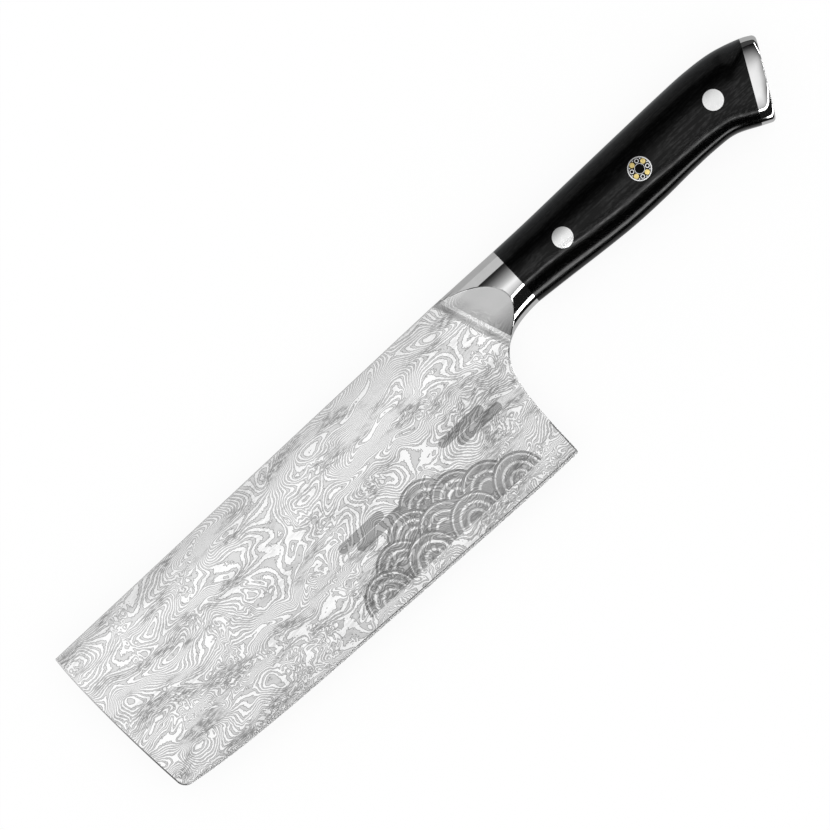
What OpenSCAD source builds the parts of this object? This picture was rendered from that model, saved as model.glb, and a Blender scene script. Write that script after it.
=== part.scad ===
// Vegetable cleaver: a layered blade with a straight front, a forged bolster,
// a full tang between two laminate scales, two hollow rivets, a mosaic pin and a steel end cap.
// It lies on its right side. X runs from the front edge to the butt, Y towards the spine, Z up.
// Outlines are worked out as a distance from the front edge and a depth below the spine.

/* [Blade] */
// Length from the front edge to the back of the heel
blade_l = 171.8; // [130:0.1:230]
// Height of the blade at the heel
blade_h = 67.4; // [50:0.1:100]
// Thickness of the blade at the spine
spine_t = 2.2; // [1.6:0.1:3]
// Thickness of the blade where the sharpened bevel starts
edge_t = 0.5; // [0.35:0.05:1]
// Thickness of the hard core at the spine
core_t = 0.8; // [0.5:0.05:1.2]
// Thickness of the hard core where the sharpened bevel starts
core_edge_t = 0.24; // [0.16:0.02:0.3]
// Thickness left along the cutting edge
apex_t = 0.06; // [0.04:0.01:0.12]
// Width of the sharpened bevel
bevel_w = 0.9; // [0.5:0.1:2]
// Length over which the bevel runs out behind the front corner
bevel_runout_l = 3; // [1:0.5:8]
// Even rise of the cutting edge from heel to tip
edge_rise = 4.8; // [0:0.1:10]
// Extra rise of the cutting edge near the tip
tip_rise = 3.6; // [0:0.1:8]
// How far the foot of the front edge leans back
front_lean = 2.2; // [0.5:0.1:6]
// How far the top of the front edge leans back
nose_lean = 0.5; // [0:0.1:2]
// Radius of the front lower corner
tip_r = 3; // [1:0.1:6]
// Radius of the heel corner
heel_r = 0.8; // [0.3:0.1:2]

/* [Bolster] */
// Distance from the back of the heel to the front of the scales
throat_l = 24.1; // [20:0.1:34]
// Height of the bolster where it meets the scales
bolster_h = 22.15; // [18:0.1:28]
// Thickness of the bolster where it meets the scales
bolster_t = 16; // [12:0.1:20]
// Length of the bolster along the spine
bolster_l = 27.1; // [23:0.1:32]
// Width of the hollow that runs from the blade up to the land
plunge_w = 2.4; // [0.8:0.1:3.5]
// Width of the flat land behind the hollow
land_w = 1.2; // [0.5:0.1:2.5]
// Thickness of the bolster across the land
land_t = 5.7; // [3.5:0.1:7]
// Slope of the ground facet on each side of the bolster
facet_a = 23.4; // [18:0.2:32]

/* [Handle] */
// Length from the front of the scales to the rear corner of the butt
handle_l = 110.85; // [90:0.05:130]
// Height of the grip at its fullest
handle_h = 26.1; // [22:0.1:32]
// Thickness of the handle at its thickest, at the front of the end cap
handle_t = 18; // [14:0.1:24]
// Depth of the front of the scales below the spine of the blade
neck_drop = 0.45; // [0:0.05:1.5]
// Thickness of the tang plate
tang_t = 2.4; // [1.6:0.1:3.4]
// Radius that rounds the rear of the end cap
cap_r = 1.3; // [0.5:0.1:2.2]

/* [Rivets] */
// Diameter of the rivet heads
rivet_head_d = 7.05; // [6:0.05:9]
// Outer diameter of the hollow stem of each rivet
rivet_stem_d = 4.8; // [4:0.1:5.4]
// Diameter of the solid stem inside it
rivet_core_d = 3; // [2:0.1:3.4]
// Depth of scale left between the tang and a rivet head
rivet_web = 3; // [2:0.1:3.6]
// Clearance all round each rivet in its holes
rivet_gap = 0.04; // [0.02:0.01:0.1]

/* [Mosaic pin] */
// Outer diameter of the pin
pin_d = 8.1; // [6.8:0.1:10]
// Wall of its outer tube
pin_wall = 0.36; // [0.25:0.01:0.45]
// Outer diameter of its centre tube
hub_d = 3.3; // [2.6:0.05:3.6]
// Wall of its centre tube
hub_wall = 0.16; // [0.1:0.01:0.3]
// Resin left between neighbouring rods and tubes
resin_gap = 0.08; // [0.05:0.01:0.12]
// Bore of the small steel tubes
reed_bore_d = 0.8; // [0.4:0.02:0.9]
// Diameter of the thin wires between the rods and the outer tube
wire_d = 0.46; // [0.3:0.02:0.5]

/* [Hidden] */
// Number of rods and small tubes round the centre tube, in turn brass and steel
ring_count = 8;
// Turn of the ring of rods
ring_a = 24;
// Overrun of cuts past a surface
over = 1;

// Shape of the edge: powers of its even rise and of its extra rise at the tip
rise_power = 1.2;
curl_power = 8;
// Where the edge is lowest, as a share of the blade's length
low_share = 0.936;
// Where the front edge stands furthest forward, as a share of its height
brow_share = 0.2;
// Pull of the throat's curve: where it leaves the heel, and its two handles
throat_shares = [0.84, 0.73, 0.936];
// Where the bolster's front line meets the throat's curve
foot_share = 0.63;
// Depths of the tenons: the blade's root and the tang in the bolster, the tang in the end cap
root_tenon_l = 8;
tang_tenon_l = 7;
cap_tenon_l = 2.6;
// Top and bottom of each tenon, as shares of the height that it enters
root_tenon_shares = [0.3, 0.72];
tang_tenon_shares = [0.28, 0.72];
cap_tenon_shares = [0.32, 0.68];

// The back of the handle, from the bolster to the butt: distance as a share of its length,
// share of the neck's drop that is left, and depth as a share of the handle's height
back_shares = [
    [0.000, 1, 0], [0.127, 1.15, 0], [0.263, 0.8, 0], [0.399, 0.45, 0], [0.534, 0.2, 0],
    [0.652, 0.05, 0], [0.769, 0, 0.008], [0.869, 0, 0.055], [0.957, 0, 0.17], [1.000, 0, 0.27]];
// The belly of the handle: distance as a share of its length, and how much deeper it lies
// than the bottom of the bolster, as a share of the handle's height
belly_shares = [
    [0.000, 0.000], [0.118, 0.044], [0.245, 0.093], [0.362, 0.128], [0.480, 0.134],
    [0.597, 0.120], [0.688, 0.123], [0.760, 0.156], [0.833, 0.296], [0.873, 0.376]];
// Thickness of the handle at the same places after the first, as shares of its fullest
girth_shares = [0.915, 0.945, 0.955, 0.95, 0.94, 0.945, 0.985, 1, 0.985];
// Power of the handle's section at each row: 2 is an oval, and more is squarer
section_powers = [2, 2.05, 2.15, 2.3, 2.35, 2.6, 2.75, 3.1, 3.6, 3.8];
// Where a section is thickest, as a share of the way from its back to its belly
full_share = 0.546;
// The row of these tables where the scales end and the end cap starts
seam_row = 8;
// Rows where the pins stand, and how far down from the back to the belly, as a share
front_rivet_spot = [1.42, 0.509];
mosaic_pin_spot = [3.79, 0.51];
rear_rivet_spot = [6.54, 0.5];

// Steps along a handle row, round a section, along the edge, the throat and round corners
row_steps = 3;
ring_steps = 44;
edge_steps = 26;
throat_steps = 16;
collar_steps = 9;
corner_steps = 5;
front_steps = 20;
// Row steps that a flush pin reaches past its own
pin_reach = 2;

joint_x = blade_l + throat_l;
ridge_x = joint_x - bolster_l;
belly_d = neck_drop + bolster_h;
bevel_d = blade_h - bevel_w;
heel_x = blade_l - heel_r;
corner_x = front_lean + tip_r;
low_x = blade_l * low_share;

// Depth of the cutting edge at distance x, with its front and heel corners rounded
function sweep(x) = max(0, (low_x - x) / low_x);
function corner(r, s) = s <= 0 ? 0 : r - sqrt(max(0, r * r - s * s));
function edge_depth(x) = blade_h - edge_rise * pow(sweep(x), rise_power)
    - tip_rise * pow(sweep(x), curl_power)
    - corner(tip_r, corner_x - x) - corner(heel_r, x - heel_x);
// The front edge, a shallow bow
foot_d = edge_depth(front_lean);
brow_d = foot_d * brow_share;
function front_x(d) = d < brow_d ? nose_lean * pow(1 - d / brow_d, 2)
    : front_lean * pow((d - brow_d) / (foot_d - brow_d), 2);

// Half thickness of the whole blade and of its core at a depth
function blade_half(d) = (spine_t + (edge_t - spine_t) * d / bevel_d) / 2;
function core_half(d) = (core_t + (core_edge_t - core_t) * d / bevel_d) / 2;

// The throat: one curve from the back of the heel to the front of the scales
throat_d = belly_d + (blade_h - belly_d) * throat_shares[0];
throat_ends = [
    [blade_l, throat_d],
    [blade_l, throat_d + (belly_d - throat_d) * throat_shares[1]],
    [joint_x - throat_l * throat_shares[2], belly_d],
    [joint_x, belly_d]];
function curve(p, t) = pow(1 - t, 3) * p[0] + 3 * pow(1 - t, 2) * t * p[1]
    + 3 * (1 - t) * t * t * p[2] + pow(t, 3) * p[3];
function throat(t) = curve(throat_ends, t);
ridge_foot = throat(foot_share);
ridge_l = norm([ridge_foot[0] - ridge_x, ridge_foot[1]]);
ridge_a = atan2(ridge_foot[0] - ridge_x, ridge_foot[1]);

// A smooth value between the rows of a table
function row(table, i) = table[min(len(table) - 1, max(0, i))];
function blend(a, b, c, d, t) = b + t * ((c - a) / 2
    + t * ((2 * a - 5 * b + 4 * c - d) / 2 + t * (3 * b - a - 3 * c + d) / 2));
function between(table, s) = let (i = min(len(table) - 2, floor(s)))
    blend(row(table, i - 1), row(table, i), row(table, i + 1), row(table, i + 2), s - i);
back = [for (p = back_shares) [joint_x + handle_l * p[0], neck_drop * p[1] + handle_h * p[2]]];
belly = [for (p = belly_shares) [joint_x + handle_l * p[0], belly_d + handle_h * p[1]]];
girth = concat([bolster_t / 2], [for (g = girth_shares) handle_t / 2 * g]);
last_row = len(back) - 1;

// A section of the handle: a ring of points [distance, depth, height from the middle plane]
function swell(v, power) = sign(v) * pow(abs(v), 2 / power);
function oval(top, bottom, half, inset = 0, power = 2) = let (
    full = top + (bottom - top) * full_share,
    shrink = 1 - 2 * inset / norm(top - bottom))
    [for (i = [0:ring_steps - 1]) let (a = 360 * i / ring_steps, arm = cos(a) > 0 ? top - full : full - bottom)
        concat(full + arm * shrink * swell(cos(a), power), (half - inset) * swell(sin(a), power))];
function section(s, inset = 0) = oval(
    between(back, s), between(belly, s), between(girth, s), inset, between(section_powers, s));
grip_rows = [for (i = [0:seam_row * row_steps]) i / row_steps];
// The end cap runs to the last row and is rounded there
cap_span = norm(between(back, last_row) - between(back, seam_row));
cap_rings = concat(
    [for (i = [0:row_steps]) section(seam_row + (1 - cap_r / cap_span) * i / row_steps)],
    [for (i = [1:corner_steps]) let (a = 90 * i / corner_steps)
        section(last_row - cap_r / cap_span * (1 - sin(a)), cap_r * (1 - cos(a)))]);

// The whole length, from the front edge to the furthest corner of the butt
total_l = max([for (ring = cap_rings) for (p = ring) p[0]]);
mid_x = total_l / 2;
mid_z = handle_t / 2;
function at(p) = [p[0] - mid_x, blade_h / 2 - p[1]];
function at3(p) = [p[0] - mid_x, blade_h / 2 - p[1], mid_z + p[2]];

// Outline points of the blade, each a distance and a depth
corner_pts = [for (i = [0:corner_steps]) corner_x - tip_r * cos(90 * i / corner_steps)];
sweep_pts = [for (i = [1:edge_steps]) corner_x + (low_x - corner_x) * pow(i / edge_steps, 1.5)];
heel_pts = [for (i = [0:corner_steps]) heel_x + heel_r * sin(90 * i / corner_steps)];
edge_xs = concat(corner_pts, sweep_pts, heel_pts);
front_pts = [for (i = [0:front_steps - 1]) let (d = foot_d * i / front_steps) [front_x(d), d]];
throat_pts = [for (i = [0:throat_steps]) throat(foot_share * (1 - i / throat_steps))];
blade_pts = concat(
    [[ridge_x, 0]],
    throat_pts,
    [for (i = [len(edge_xs) - 1:-1:0]) [edge_xs[i], edge_depth(edge_xs[i])]],
    [for (i = [len(front_pts) - 1:-1:0]) front_pts[i]]);

// A solid skinned over rings that all have the same number of points
module skin(rings) {
    n = len(rings[0]);
    m = len(rings);
    polyhedron(
        points = [for (ring = rings) for (p = ring) at3(p)],
        faces = concat(
            [[for (i = [0:n - 1]) i]],
            [for (j = [0:m - 2]) for (i = [0:n - 1]) [j * n + i, (j + 1) * n + i, j * n + (i + 1) % n]],
            [for (j = [0:m - 2]) for (i = [0:n - 1])
                [(j + 1) * n + i, (j + 1) * n + (i + 1) % n, j * n + (i + 1) % n]],
            [[for (i = [n - 1:-1:0]) (m - 1) * n + i]]),
        convexity = 4);
}

// A flat shape drawn in distance and depth, as thick as t about the middle plane
module plate(pts, t) {
    translate([0, 0, mid_z - t / 2])
        linear_extrude(t) polygon([for (p = pts) at(p)]);
}

// A bar along the blade, whose section is drawn in depth and height
module wedge(pts) {
    translate([-mid_x - over, 0, mid_z]) rotate([90, 0, 90])
        linear_extrude(joint_x + 2 * over) polygon([for (p = pts) [blade_h / 2 - p[0], p[1]]]);
}

// Moves to where the front of the bolster meets the spine, with Y up along that line
module on_ridge() {
    translate([ridge_x - mid_x, blade_h / 2, mid_z]) rotate([0, 0, ridge_a]) children();
}

// Moves to a pin's place in the middle plane
function spot(s) = let (top = between(back, s[0])) top + (between(belly, s[0]) - top) * s[1];
module on_spot(s) {
    p = at(spot(s));
    translate([p[0], p[1], mid_z]) children();
}

module rod(d, h) {
    translate([0, 0, -h / 2]) cylinder(d = d, h = h, $fn = 64);
}

// The grip between two steps of its rows
module grip_blank(first = 0, last = seam_row * row_steps) {
    skin([for (i = [first:last]) section(i / row_steps)]);
}

// Trims its children flush with the grip round a pin's place
module flush(s) {
    step = floor(s[0] * row_steps);
    intersection() {
        grip_blank(step - pin_reach, step + 1 + pin_reach);
        on_spot(s) children();
    }
}

// The tenon on the blade's core that seats in the front of the bolster
root_tenon_t = 2 * core_half(ridge_foot[1]);
module root_tenon() {
    on_ridge() translate([-over, -ridge_l * root_tenon_shares[1], -root_tenon_t / 2])
        cube([root_tenon_l + over, ridge_l * (root_tenon_shares[1] - root_tenon_shares[0]), root_tenon_t]);
}

// The tenon on the tang that seats in the back of the bolster
module tang_tenon() {
    translate([joint_x - mid_x - tang_tenon_l, blade_h / 2 - belly_d * tang_tenon_shares[1], mid_z - tang_t / 2])
        cube([tang_tenon_l + over, belly_d * (tang_tenon_shares[1] - tang_tenon_shares[0]), tang_t]);
}

// The tenon on the tang that seats in the end cap, square to the seam
module cap_tenon() {
    top = back[seam_row];
    drop = belly[seam_row] - top;
    a = atan2(-drop[0], drop[1]);
    p = at(top);
    translate([p[0], p[1], mid_z - tang_t / 2]) rotate([0, 0, -a])
        translate([-over, -norm(drop) * cap_tenon_shares[1], 0])
            cube([cap_tenon_l + over, norm(drop) * (cap_tenon_shares[1] - cap_tenon_shares[0]), tang_t]);
}

// Blade

// What the sharpening grinds off on one side: its slope is the same along the blade, and it runs
// out to nothing behind the front corner
function bevel_ring(x, side) = let (
    near = min(heel_x, max(corner_x, x)),
    width = bevel_w * min(1, (near - corner_x) / bevel_runout_l),
    depth = edge_depth(near),
    slope = (blade_half(depth - bevel_w) - apex_t / 2) / bevel_w,
    half = apex_t / 2 + slope * (bevel_w - width),
    top = depth - 2 * bevel_w,
    low = depth + apex_t / slope / 4,
    ring = [[x, top, half + 2 * slope * bevel_w], [x, low, half - apex_t / 4],
        [x, low, half + spine_t], [x, top, half + spine_t]])
    [for (i = [0:3]) let (p = ring[side > 0 ? 3 - i : i]) [p[0], p[1], side * p[2]]];
module bevel_cut(side) {
    skin([for (x = concat([-over, corner_x], sweep_pts, [heel_x, blade_l + over])) bevel_ring(x, side)]);
}

module blade_core() {
    low = blade_h + over;
    color("lightgray") {
        difference() {
            intersection() {
                plate(blade_pts, spine_t);
                wedge([[-over, core_half(-over)], [low, core_half(low)],
                    [low, -core_half(low)], [-over, -core_half(-over)]]);
            }
            bevel_cut(1);
            bevel_cut(-1);
        }
        root_tenon();
    }
}

module cladding(side) {
    low = blade_h + over;
    difference() {
        intersection() {
            plate(blade_pts, spine_t + over);
            wedge([for (p = [[-over, core_half(-over)], [-over, blade_half(-over)],
                [low, blade_half(low)], [low, core_half(low)]]) [p[0], side * p[1]]]);
        }
        bevel_cut(side);
    }
}

module cladding_left() {
    color("gainsboro") cladding(1);
}

module cladding_right() {
    color("gainsboro") cladding(-1);
}

// Bolster

// Sections of the bolster's body: the belly runs on ahead of the ridge, where the facets cut it away
function collar(p) = oval([p[0], neck_drop * max(0, p[0] - ridge_x) / bolster_l], p, bolster_t / 2);
bolster_rings = concat(
    [for (x = [ridge_x - over, (ridge_x + ridge_foot[0]) / 2]) collar([x, ridge_foot[1] + ridge_foot[0] - x])],
    [for (i = [0:collar_steps]) collar(throat(foot_share + (1 - foot_share) * i / collar_steps))]);

// The wedge that the two hollows, lands and ground facets leave
module facet_wedge() {
    low = spine_t / 2;
    high = land_t / 2;
    start = plunge_w + land_w;
    far = start + bolster_l;
    rise = [for (i = [0:corner_steps]) let (a = 90 * i / corner_steps)
        [plunge_w * sin(a), high - (high - low) * cos(a)]];
    half = concat(rise, [[start, high], [far, high + bolster_l * tan(facet_a)]]);
    on_ridge() rotate([90, 0, 0]) translate([0, 0, -bolster_l])
        linear_extrude(2 * bolster_l + ridge_l)
            polygon(concat(half, [for (i = [len(half) - 1:-1:0]) [half[i][0], -half[i][1]]]));
}

module bolster() {
    color("silver") difference() {
        intersection() {
            skin(bolster_rings);
            facet_wedge();
        }
        root_tenon();
        tang_tenon();
    }
}

// Tang, scales and end cap

module tang() {
    color("darkgray") difference() {
        union() {
            plate(concat([for (s = grip_rows) between(back, s)],
                [for (i = [len(grip_rows) - 1:-1:0]) between(belly, grip_rows[i])]), tang_t);
            tang_tenon();
            cap_tenon();
        }
        for (s = [front_rivet_spot, rear_rivet_spot])
            on_spot(s) rod(rivet_stem_d + 2 * rivet_gap, handle_t);
        on_spot(mosaic_pin_spot) rod(pin_d, handle_t);
    }
}

// One half of the grip, above the tang, with its holes
module scale(side) {
    z = tang_t / 2;
    difference() {
        grip_blank();
        translate([-mid_x, -blade_h / 2, mid_z - (side > 0 ? handle_t : z)])
            cube([total_l + over, blade_h + over, handle_t + z]);
        for (s = [front_rivet_spot, rear_rivet_spot])
            on_spot(s) {
                rod(rivet_stem_d + 2 * rivet_gap, handle_t);
                translate([0, 0, side * (z + rivet_web + handle_t / 2)])
                    rod(rivet_head_d + 2 * rivet_gap, handle_t);
            }
        on_spot(mosaic_pin_spot) rod(pin_d, handle_t + over);
    }
}

module scale_left() {
    color("#1c1c1e") scale(1);
}

module scale_right() {
    color("#1c1c1e") scale(-1);
}

module end_cap() {
    color("silver") difference() {
        skin(cap_rings);
        cap_tenon();
    }
}

// Rivets: a solid stem pressed into a hollow one

module rivet_head(side) {
    translate([0, 0, side * (tang_t / 2 + rivet_web + handle_t / 2)]) rod(rivet_head_d, handle_t);
}

module rivet_male(s) {
    flush(s) {
        rivet_head(1);
        translate([0, 0, rivet_gap]) rod(rivet_core_d, tang_t + 2 * rivet_web);
    }
}

module rivet_female(s) {
    reach = tang_t + 2 * rivet_web;
    flush(s) difference() {
        union() {
            rivet_head(-1);
            translate([0, 0, -rivet_gap]) rod(rivet_stem_d, reach);
        }
        translate([0, 0, over / 2]) rod(rivet_core_d + 2 * rivet_gap, reach + over);
    }
}

module front_rivet_male() {
    color("whitesmoke") rivet_male(front_rivet_spot);
}

module front_rivet_female() {
    color("whitesmoke") rivet_female(front_rivet_spot);
}

module rear_rivet_male() {
    color("whitesmoke") rivet_male(rear_rivet_spot);
}

module rear_rivet_female() {
    color("whitesmoke") rivet_female(rear_rivet_spot);
}

// Mosaic pin: rods, tubes and wires set in black resin

ring_r = (pin_d / 2 - pin_wall + hub_d / 2) / 2;
reed_d = min(2 * ring_r * sin(180 / ring_count), pin_d / 2 - pin_wall - hub_d / 2) - 2 * resin_gap;
wire_r = pin_d / 2 - pin_wall - resin_gap - wire_d / 2;

// Repeats its children round the pin: every step places, from the first one
module around(first, step, r) {
    for (i = [first:step:ring_count - step / 2])
        rotate([0, 0, ring_a + 360 * i / ring_count]) translate([r, 0, 0]) children();
}

module mosaic_tube() {
    color("whitesmoke") flush(mosaic_pin_spot) difference() {
        rod(pin_d, 2 * handle_t);
        rod(pin_d - 2 * pin_wall, 3 * handle_t);
    }
}

module mosaic_centre_tube() {
    color("whitesmoke") flush(mosaic_pin_spot) difference() {
        rod(hub_d, 2 * handle_t);
        rod(hub_d - 2 * hub_wall, 3 * handle_t);
    }
}

module mosaic_brass_rods() {
    color("goldenrod") flush(mosaic_pin_spot) around(0, 2, ring_r) rod(reed_d, 2 * handle_t);
}

module mosaic_steel_tubes() {
    color("whitesmoke") flush(mosaic_pin_spot) around(1, 2, ring_r) difference() {
        rod(reed_d, 2 * handle_t);
        rod(reed_bore_d, 3 * handle_t);
    }
}

module mosaic_wires() {
    color("whitesmoke") flush(mosaic_pin_spot) around(0.5, 1, wire_r) rod(wire_d, 2 * handle_t);
}

module mosaic_resin() {
    color("black") flush(mosaic_pin_spot) {
        difference() {
            rod(pin_d - 2 * pin_wall, 2 * handle_t);
            rod(hub_d, 3 * handle_t);
            around(0, 1, ring_r) rod(reed_d, 3 * handle_t);
            around(0.5, 1, wire_r) rod(wire_d, 3 * handle_t);
        }
        rod(hub_d - 2 * hub_wall, 2 * handle_t);
        around(1, 2, ring_r) rod(reed_bore_d, 2 * handle_t);
    }
}

blade_core();
cladding_left();
cladding_right();
bolster();
tang();
scale_left();
scale_right();
end_cap();
front_rivet_male();
front_rivet_female();
rear_rivet_male();
rear_rivet_female();
mosaic_tube();
mosaic_centre_tube();
mosaic_brass_rods();
mosaic_steel_tubes();
mosaic_wires();
mosaic_resin();
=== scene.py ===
import math
from contextlib import contextmanager
import bmesh
import bpy
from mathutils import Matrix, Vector


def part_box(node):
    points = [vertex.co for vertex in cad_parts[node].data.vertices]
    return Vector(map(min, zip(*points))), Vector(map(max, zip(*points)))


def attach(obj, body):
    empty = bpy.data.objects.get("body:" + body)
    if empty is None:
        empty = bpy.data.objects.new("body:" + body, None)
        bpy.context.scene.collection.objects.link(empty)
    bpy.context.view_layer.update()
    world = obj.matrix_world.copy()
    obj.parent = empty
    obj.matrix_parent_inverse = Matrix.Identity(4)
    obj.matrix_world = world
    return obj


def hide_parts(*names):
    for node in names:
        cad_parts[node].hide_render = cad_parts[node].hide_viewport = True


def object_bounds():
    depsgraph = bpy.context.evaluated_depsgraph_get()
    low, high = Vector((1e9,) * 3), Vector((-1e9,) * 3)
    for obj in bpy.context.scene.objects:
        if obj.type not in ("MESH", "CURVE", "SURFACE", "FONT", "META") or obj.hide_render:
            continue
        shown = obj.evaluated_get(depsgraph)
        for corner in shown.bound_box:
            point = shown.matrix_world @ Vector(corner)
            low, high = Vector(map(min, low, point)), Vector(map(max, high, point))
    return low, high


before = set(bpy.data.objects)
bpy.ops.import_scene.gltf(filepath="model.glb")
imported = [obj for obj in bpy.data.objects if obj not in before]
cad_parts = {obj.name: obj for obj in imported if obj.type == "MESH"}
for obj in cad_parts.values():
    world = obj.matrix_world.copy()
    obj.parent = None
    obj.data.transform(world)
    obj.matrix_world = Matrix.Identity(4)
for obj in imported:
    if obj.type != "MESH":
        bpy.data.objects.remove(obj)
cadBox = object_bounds()
print("frame loaded:", len(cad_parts), "nodes")

# Lengths are in metres. A place on the knife is a distance along it from the front edge,
# a depth below the spine and a height above the middle plane.
mm = 0.001
over = 1 * mm  # how far a cutter reaches past what it cuts
frontX = cadBox[0].x
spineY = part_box("cladding_left")[1].y
midZ = (cadBox[0].z + cadBox[1].z) / 2

bladeSize = {
    "length": 171.8 * mm,
    "height": 67.4 * mm,
    "spineThick": 2.2 * mm,
    "edgeThick": 0.5 * mm,
    "coreThick": 0.8 * mm,
    "coreEdgeThick": 0.24 * mm,
    "apexThick": 0.06 * mm,
    "bevelWide": 0.9 * mm,
    "bevelRunout": 3 * mm,
    "edgeRise": 4.8 * mm,
    "tipRise": 3.6 * mm,
    "frontLean": 2.2 * mm,
    "noseLean": 0.5 * mm,
    "tipRadius": 3 * mm,
    "heelRadius": 0.8 * mm,
    "risePower": 1.2,
    "curlPower": 8,
    "stationPower": 1.5,
    "lowShare": 0.936,
    "browShare": 0.2,
    "rounding": 0.3 * mm,
    "bevelLine": 0.16 * mm,
}

bolsterSize = {
    "throatLong": 24.1 * mm,
    "height": 22.15 * mm,
    "thick": 16 * mm,
    "length": 27.1 * mm,
    "plungeWide": 2.4 * mm,
    "landWide": 1.2 * mm,
    "landThick": 5.7 * mm,
    "facetAngle": 23.4,
    "throatShares": (0.84, 0.73, 0.936),
    "footShare": 0.63,
    "throatFullness": 0.35,
    "rounding": 0.25 * mm,
}

handleSize = {
    "length": 110.85 * mm,
    "height": 26.1 * mm,
    "thick": 18 * mm,
    "neckDrop": 0.45 * mm,
    "tangThick": 2.4 * mm,
    "capRadius": 1.3 * mm,
    "capSoftLong": 3.2 * mm,
    "capSoftDrop": 0.18 * mm,
    "capBend": 2.6,
    "capLean": 3.2,
    "capRim": 0.3 * mm,
    "seamRow": 8,
    "rowSteps": 12,
    "ringSteps": 176,
}

pinSize = {
    "rivetHead": 7.05 * mm,
    "rivetStem": 4.8 * mm,
    "rivetCore": 3 * mm,
    "rivetWeb": 3 * mm,
    "gap": 0.04 * mm,
    "mosaic": 8.1 * mm,
    "mosaicWall": 0.36 * mm,
    "hub": 3.5 * mm,
    "hubWall": 0.14 * mm,
    "resinGap": 0.1 * mm,
    "tubeShare": 0.86,
    "tubeBore": 1 * mm,
    "wire": 0.46 * mm,
    "ringCount": 8,
    "ringTurn": 24,
    "smallSteps": 48,
    "shoulderShare": 0.3,
    "rowReach": 0.7,
    "frontRivet": (1.42, 0.509),
    "mosaicPin": (3.79, 0.51),
    "rearRivet": (6.54, 0.5),
}

# Back and belly of the handle, row by row, as shares of its sizes
backShares = [
    (0.000, 1, 0), (0.127, 1.15, 0), (0.263, 0.8, 0), (0.399, 0.45, 0), (0.534, 0.2, 0),
    (0.652, 0.05, 0), (0.769, 0, 0.008), (0.869, 0, 0.055), (0.957, 0, 0.17), (1.000, 0, 0.27)]
bellyShares = [
    (0.000, 0.000), (0.118, 0.044), (0.245, 0.093), (0.362, 0.128), (0.480, 0.134),
    (0.597, 0.120), (0.688, 0.123), (0.760, 0.156), (0.833, 0.296), (0.873, 0.376)]
girthShares = [0.915, 0.945, 0.955, 0.95, 0.94, 0.945, 0.985, 1, 0.985]
# Power of the handle's section at each row: 2 is an oval, and more is squarer
sectionPowers = [2, 2.05, 2.15, 2.3, 2.35, 2.6, 2.75, 3.1, 3.6, 3.8]
bellyPowers = [2, 1.9, 2.14, 2.27, 2.44, 2.85, 3.1, 3.3, 3.7, 3.8]
# Where a section is thickest, as a share of the way from its back to its belly
fullShare = 0.524
# How the scales' upper half turns, in degrees, at even steps from the thickest place to the
# back: a quick bend and a nearly flat shoulder, which fades out before the collar and the cap
shoulderTurns = [0, 2.9, 11.6, 17.6, 21.2, 24.4, 31, 43, 58, 74, 90]
shoulderRows = (0.5, 7.2, 8.0)

jointAlong = bladeSize["length"] + bolsterSize["throatLong"]
ridgeAlong = jointAlong - bolsterSize["length"]
bellyDepth = handleSize["neckDrop"] + bolsterSize["height"]
lowAlong = bladeSize["length"] * bladeSize["lowShare"]
tipAlong = bladeSize["frontLean"] + bladeSize["tipRadius"]
heelAlong = bladeSize["length"] - bladeSize["heelRadius"]
landEnd = bolsterSize["plungeWide"] + bolsterSize["landWide"]


def place(along, depth, height=0.0):
    return Vector((frontX + along, spineY - depth, midZ + height))


# Meshes

# Opens a mesh for changes and writes them back
@contextmanager
def editing(mesh):
    shape = bmesh.new()
    shape.from_mesh(mesh)
    yield shape
    shape.to_mesh(mesh)
    shape.free()


def addPiece(name, mesh):
    piece = bpy.data.objects.new(name, mesh)
    bpy.context.scene.collection.objects.link(piece)
    return piece


def meshFromFaces(name, points, faces):
    mesh = bpy.data.meshes.new(name)
    mesh.from_pydata(points, [], faces)
    with editing(mesh) as shape:
        bmesh.ops.recalc_face_normals(shape, faces=shape.faces)
    return mesh


# The side faces between two closed lines of points with the same count
def bandFaces(here, there, count):
    faces = []
    for i in range(count):
        after = (i + 1) % count
        faces.append((here + i, here + after, there + after, there + i))
    return faces


def skinRings(name, rings):
    count = len(rings[0])
    last = (len(rings) - 1) * count
    faces = [tuple(range(count)), tuple(range(last, last + count))]
    for start in range(0, last, count):
        faces += bandFaces(start, start + count, count)
    return addPiece(name, meshFromFaces(name, [p for ring in rings for p in ring], faces))


def circleRing(centre, radius, height, steps):
    ring = []
    for i in range(steps):
        a = 2 * math.pi * i / steps
        ring.append(Vector((centre.x + radius * math.cos(a), centre.y + radius * math.sin(a), height)))
    return ring


def rod(name, centre, radius, low, high, steps=96):
    return skinRings(name, [circleRing(centre, radius, height, steps) for height in (low, high)])


def applyModifiers(piece):
    bpy.context.view_layer.update()
    evaluated = piece.evaluated_get(bpy.context.evaluated_depsgraph_get())
    mesh = bpy.data.meshes.new_from_object(evaluated)
    piece.modifiers.clear()
    piece.data = mesh


def carve(piece, cutter, operation="DIFFERENCE", keep=False):
    step = piece.modifiers.new("carve", "BOOLEAN")
    step.operation = operation
    step.object = cutter
    step.solver = "EXACT"
    applyModifiers(piece)
    if not keep:
        bpy.data.objects.remove(cutter)


def slicePiece(piece, height, keepAbove):
    with editing(piece.data) as shape:
        bmesh.ops.bisect_plane(
            shape, geom=shape.verts[:] + shape.edges[:] + shape.faces[:], plane_co=(0, 0, height),
            plane_no=(0, 0, 1), clear_inner=keepAbove, clear_outer=not keepAbove)
        rim = [edge for edge in shape.edges if edge.is_boundary]
        bmesh.ops.holes_fill(shape, edges=rim, sides=0)
        bmesh.ops.recalc_face_normals(shape, faces=shape.faces)


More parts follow.
